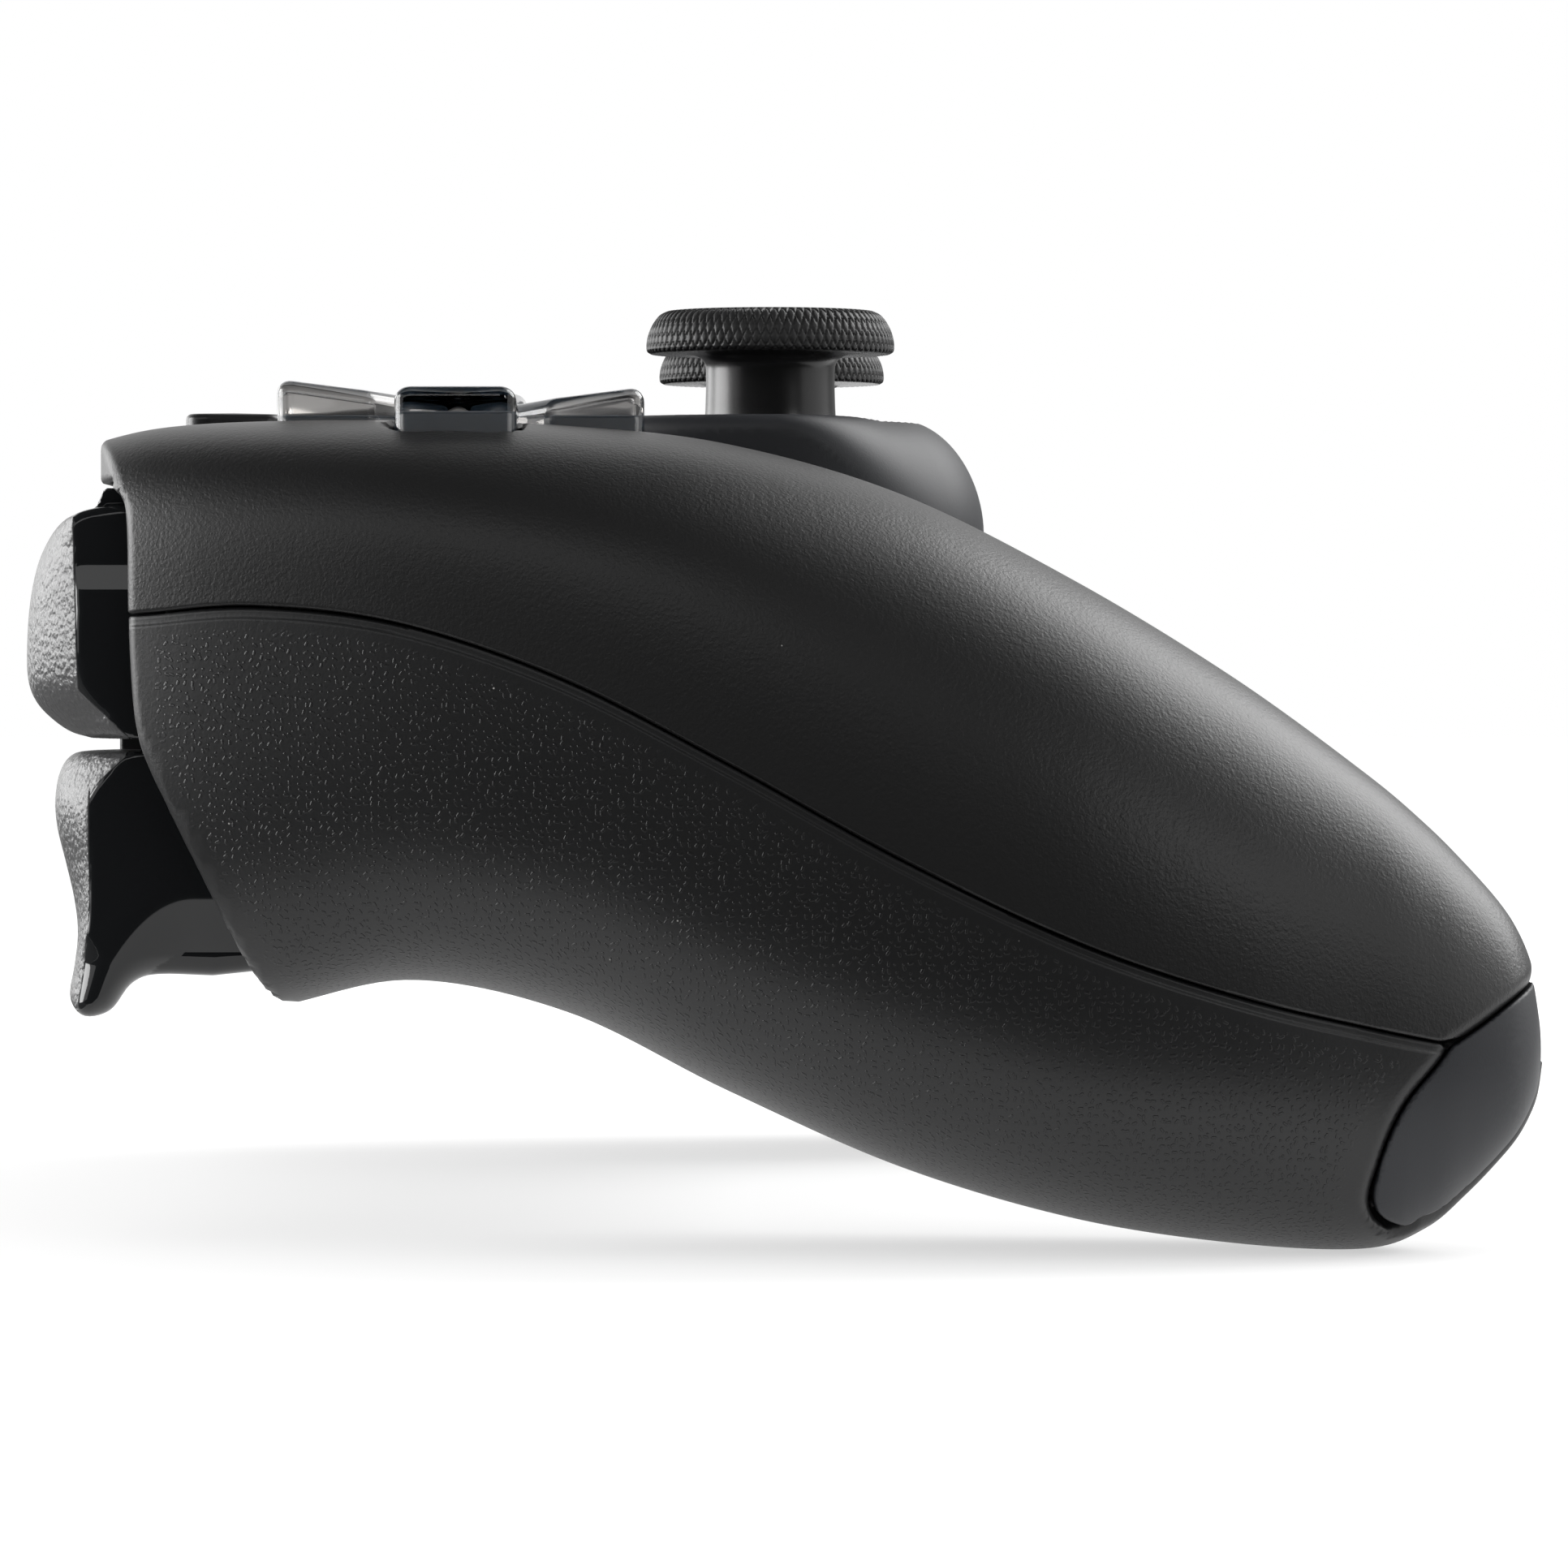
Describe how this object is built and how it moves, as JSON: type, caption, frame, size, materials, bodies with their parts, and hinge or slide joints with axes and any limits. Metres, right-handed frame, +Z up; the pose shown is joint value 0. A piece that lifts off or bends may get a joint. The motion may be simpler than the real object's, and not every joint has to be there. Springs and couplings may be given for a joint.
{
  "type": "gamepad controller",
  "caption": "Two-grip gamepad controller with thumb sticks, direction keys, face buttons, a touchpad, bumpers and pulled triggers on a two-part shell.",
  "frame": {"origin": "middle of the bounding box in plan, at the height of the grips' lowest point", "axes": "+X to the player's right, +Y forward to the triggers, +Z up along the upright sticks"},
  "size_m": [0.16, 0.1047, 0.0665],
  "materials": {
    "cover_black": "fine moulded grain, matte",
    "trim_grey": "smooth satin",
    "light_guide": "milky clear, unlit",
    "board": "solder-mask satin",
    "membrane": "matte",
    "frame_black": "plain moulded",
    "cell_wrap": "satin wrap",
    "steel": "brushed",
    "contact": "plated",
    "smoky_key": "smoky clear, polished",
    "small_button": "satin",
    "stick_rubber": "matte, fine raised pattern on the rim",
    "gimbal_white": "plain moulded",
    "shoulder_gloss": "grained front, polished sides"
  },
  "bodies": {
    "shell": {"front_cover": "cover_black", "back_cover": "cover_black", "center_trim": "trim_grey", "light_guides": "light_guide", "button_carrier": "frame_black", "dpad_membrane": "membrane", "face_membrane": "membrane", "mid_frame": "frame_black", "main_board": "board", "battery_pack": "cell_wrap", "left_haptic_motor": "steel", "right_haptic_motor": "steel", "speaker": "frame_black", "usb_socket": "steel", "audio_socket": "frame_black", "charge_contacts": "contact", "cover_screws": "steel", "carrier_screws": "steel", "left_stick_base": "steel", "right_stick_base": "steel", "left_bumper_pin": "steel", "right_bumper_pin": "steel", "left_trigger_pin": "steel", "right_trigger_pin": "steel", "left_trigger_spring": "steel", "right_trigger_spring": "steel"},
    "touchpad": {"touchpad": "cover_black", "touchpad_board": "board"},
    "dpad_up": {"dpad_up": "smoky_key"},
    "dpad_down": {"dpad_down": "smoky_key"},
    "dpad_left": {"dpad_left": "smoky_key"},
    "dpad_right": {"dpad_right": "smoky_key"},
    "button_north": {"button_north": "smoky_key"},
    "button_south": {"button_south": "smoky_key"},
    "button_west": {"button_west": "smoky_key"},
    "button_east": {"button_east": "smoky_key"},
    "create_button": {"create_button": "small_button"},
    "options_button": {"options_button": "small_button"},
    "home_button": {"home_button": "small_button"},
    "mute_button": {"mute_button": "small_button"},
    "left_stick_yoke": {"left_stick_yoke": "gimbal_white"},
    "left_stick_post": {"left_stick_post": "gimbal_white"},
    "left_stick_cap": {"left_stick_cap": "stick_rubber"},
    "right_stick_yoke": {"right_stick_yoke": "gimbal_white"},
    "right_stick_post": {"right_stick_post": "gimbal_white"},
    "right_stick_cap": {"right_stick_cap": "stick_rubber"},
    "left_bumper": {"left_bumper": "shoulder_gloss"},
    "right_bumper": {"right_bumper": "shoulder_gloss"},
    "left_trigger": {"left_trigger": "shoulder_gloss"},
    "right_trigger": {"right_trigger": "shoulder_gloss"}
  },
  "joints": [
    {"name": "dpad_up_press", "type": "slide", "parent": "shell", "child": "dpad_up", "axis": [0, 0, -1], "range_m": [0, 0.001], "stiffness_N_per_m": 500, "springref_m": -0.001},
    {"name": "dpad_down_press", "type": "slide", "parent": "shell", "child": "dpad_down", "axis": [0, 0, -1], "range_m": [0, 0.001], "stiffness_N_per_m": 500, "springref_m": -0.001},
    {"name": "dpad_left_press", "type": "slide", "parent": "shell", "child": "dpad_left", "axis": [0, 0, -1], "range_m": [0, 0.001], "stiffness_N_per_m": 500, "springref_m": -0.001},
    {"name": "dpad_right_press", "type": "slide", "parent": "shell", "child": "dpad_right", "axis": [0, 0, -1], "range_m": [0, 0.001], "stiffness_N_per_m": 500, "springref_m": -0.001},
    {"name": "button_north_press", "type": "slide", "parent": "shell", "child": "button_north", "axis": [0, 0, -1], "range_m": [0, 0.001], "stiffness_N_per_m": 500, "springref_m": -0.001},
    {"name": "button_south_press", "type": "slide", "parent": "shell", "child": "button_south", "axis": [0, 0, -1], "range_m": [0, 0.001], "stiffness_N_per_m": 500, "springref_m": -0.001},
    {"name": "button_west_press", "type": "slide", "parent": "shell", "child": "button_west", "axis": [0, 0, -1], "range_m": [0, 0.001], "stiffness_N_per_m": 500, "springref_m": -0.001},
    {"name": "button_east_press", "type": "slide", "parent": "shell", "child": "button_east", "axis": [0, 0, -1], "range_m": [0, 0.001], "stiffness_N_per_m": 500, "springref_m": -0.001},
    {"name": "create_button_press", "type": "slide", "parent": "shell", "child": "create_button", "axis": [0, 0, -1], "range_m": [0, 0.0006], "stiffness_N_per_m": 800, "springref_m": -0.001},
    {"name": "options_button_press", "type": "slide", "parent": "shell", "child": "options_button", "axis": [0, 0, -1], "range_m": [0, 0.0006], "stiffness_N_per_m": 800, "springref_m": -0.001},
    {"name": "home_button_press", "type": "slide", "parent": "shell", "child": "home_button", "axis": [0, 0, -1], "range_m": [0, 0.0006], "stiffness_N_per_m": 800, "springref_m": -0.001},
    {"name": "mute_button_press", "type": "slide", "parent": "shell", "child": "mute_button", "axis": [0, 0, -1], "range_m": [0, 0.0006], "stiffness_N_per_m": 800, "springref_m": -0.001},
    {"name": "touchpad_tilt", "type": "hinge", "parent": "shell", "child": "touchpad", "pos_m": [0, 0.0436, 0.0571], "axis": [1, 0, 0], "range_deg": [0, 1], "stiffness_Nm_per_rad": 2, "springref_deg": -1.15},
    {"name": "left_stick_tilt_y", "type": "hinge", "parent": "shell", "child": "left_stick_yoke", "pos_m": [-0.03, 0.001, 0.046], "axis": [1, 0, 0], "range_deg": [-15, 15], "stiffness_Nm_per_rad": 0.06},
    {"name": "left_stick_tilt_x", "type": "hinge", "parent": "left_stick_yoke", "child": "left_stick_post", "pos_m": [-0.03, 0.001, 0.046], "axis": [0, 1, 0], "range_deg": [-15, 15], "stiffness_Nm_per_rad": 0.06},
    {"name": "left_stick_click", "type": "slide", "parent": "left_stick_post", "child": "left_stick_cap", "axis": [0, 0, -1], "range_m": [0, 0.0005], "stiffness_N_per_m": 2500, "springref_m": -0.001},
    {"name": "right_stick_tilt_y", "type": "hinge", "parent": "shell", "child": "right_stick_yoke", "pos_m": [0.03, 0.001, 0.046], "axis": [1, 0, 0], "range_deg": [-15, 15], "stiffness_Nm_per_rad": 0.06},
    {"name": "right_stick_tilt_x", "type": "hinge", "parent": "right_stick_yoke", "child": "right_stick_post", "pos_m": [0.03, 0.001, 0.046], "axis": [0, 1, 0], "range_deg": [-15, 15], "stiffness_Nm_per_rad": 0.06},
    {"name": "right_stick_click", "type": "slide", "parent": "right_stick_post", "child": "right_stick_cap", "axis": [0, 0, -1], "range_m": [0, 0.0005], "stiffness_N_per_m": 2500, "springref_m": -0.001},
    {"name": "left_bumper_press", "type": "hinge", "parent": "shell", "child": "left_bumper", "pos_m": [0, 0.044, 0.0496], "axis": [-1, 0, 0], "range_deg": [0, 5], "stiffness_Nm_per_rad": 0.25, "springref_deg": -3.44},
    {"name": "left_trigger_pull", "type": "hinge", "parent": "shell", "child": "left_trigger", "pos_m": [0, 0.04, 0.0332], "axis": [-1, 0, 0], "range_deg": [0, 16], "stiffness_Nm_per_rad": 0.15, "springref_deg": -8.59},
    {"name": "right_bumper_press", "type": "hinge", "parent": "shell", "child": "right_bumper", "pos_m": [0, 0.044, 0.0496], "axis": [-1, 0, 0], "range_deg": [0, 5], "stiffness_Nm_per_rad": 0.25, "springref_deg": -3.44},
    {"name": "right_trigger_pull", "type": "hinge", "parent": "shell", "child": "right_trigger", "pos_m": [0, 0.04, 0.0332], "axis": [-1, 0, 0], "range_deg": [0, 16], "stiffness_Nm_per_rad": 0.15, "springref_deg": -8.59}
  ]
}
